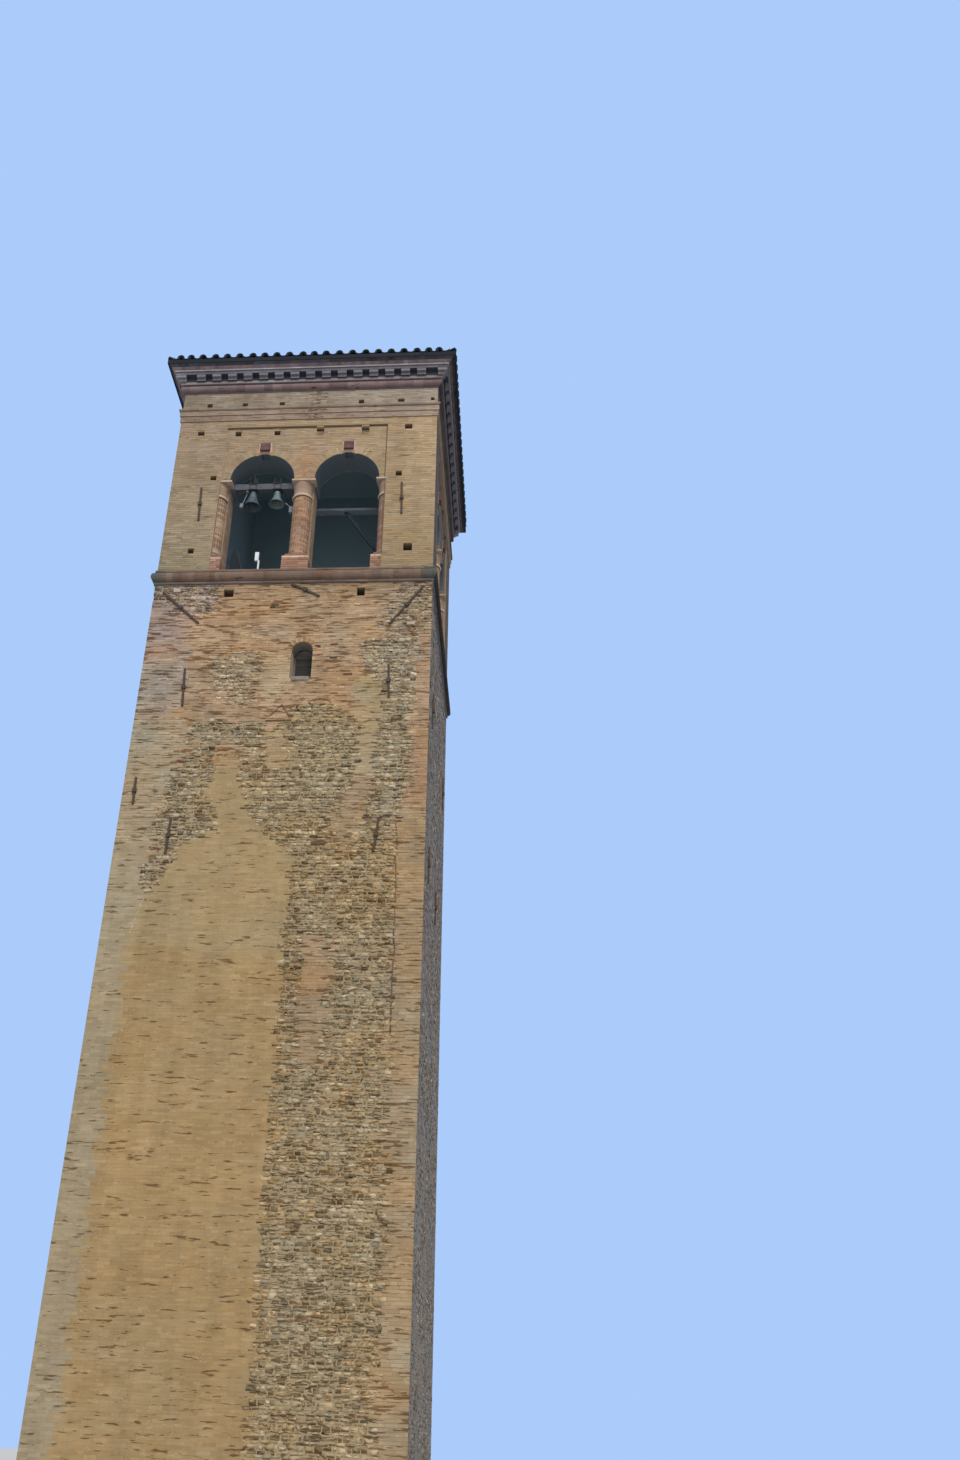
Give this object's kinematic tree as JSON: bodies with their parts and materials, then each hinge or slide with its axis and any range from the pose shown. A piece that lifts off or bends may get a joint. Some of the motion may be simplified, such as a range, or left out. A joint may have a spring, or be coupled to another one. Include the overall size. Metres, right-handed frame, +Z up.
{
  "type": "bell tower",
  "caption": "Square brick bell tower with twin arched belfry openings, hanging bells, a dentilled cornice and a low hipped tile roof.",
  "frame": {"origin": "centre of the square plan at ground level", "axes": "+Z up, -Y out of the front face, which holds the bells and the slit window, +X to the right of the front"},
  "size_m": [8.28, 8.28, 29.7214],
  "materials": {
    "shaft_brick": "weathered brick and rubble masonry",
    "belfry_brick": "coursed yellow and tan brick",
    "red_brick": "red and orange brick",
    "string_brick": "purple brown moulded brick, dark with weathering",
    "cornice_brick": "purple grey moulded brick",
    "terracotta": "dark red terracotta",
    "pale_stone": "pale worn stone",
    "roof_tile": "weathered clay pan and cover tiles",
    "floor_mortar": "dusty mortar floor",
    "brown_timber": "old dark brown paint",
    "grey_timber": "weathered grey timber",
    "dark_iron": "dull dark iron",
    "rusty_iron": "rusted wrought iron",
    "grey_bronze": "grey oxidised bronze",
    "green_bronze": "green verdigris bronze",
    "grey_metal": "dull grey metal",
    "white_case": "white plastic"
  },
  "bodies": {
    "root": {"shaft_front_wall": "shaft_brick", "shaft_right_wall": "shaft_brick", "shaft_back_wall": "shaft_brick", "shaft_left_wall": "shaft_brick", "slit_window_sills": "pale_stone", "slit_window_frames": "brown_timber", "string_course": "string_brick", "belfry_floor": "floor_mortar", "corner_pier_front_left": "belfry_brick", "corner_pier_front_right": "belfry_brick", "corner_pier_back_right": "belfry_brick", "corner_pier_back_left": "belfry_brick", "centre_pier_front": "belfry_brick", "centre_pier_right": "belfry_brick", "centre_pier_back": "belfry_brick", "centre_pier_left": "belfry_brick", "column_bases": "red_brick", "column_shafts": "red_brick", "column_capitals": "red_brick", "imposts": "pale_stone", "arch_wall_front": "belfry_brick", "arch_wall_right": "belfry_brick", "arch_wall_back": "belfry_brick", "arch_wall_left": "belfry_brick", "keystones": "terracotta", "architrave": "belfry_brick", "frieze": "belfry_brick", "cornice_bed_mould": "cornice_brick", "dentil_course": "cornice_brick", "cornice_crown": "cornice_brick", "roof_slope_front": "roof_tile", "roof_slope_right": "roof_tile", "roof_slope_back": "roof_tile", "roof_slope_left": "roof_tile", "roof_hips": "roof_tile", "bell_beam": "grey_timber", "bell_clamps": "dark_iron", "bell_left": "grey_bronze", "bell_right": "green_bronze", "bell_hammer_left": "grey_metal", "bell_hammer_right": "grey_metal", "cross_plank": "grey_timber", "timber_brace": "grey_timber", "sill_lamp": "white_case", "wall_anchors": "rusty_iron"}
  },
  "joints": []
}
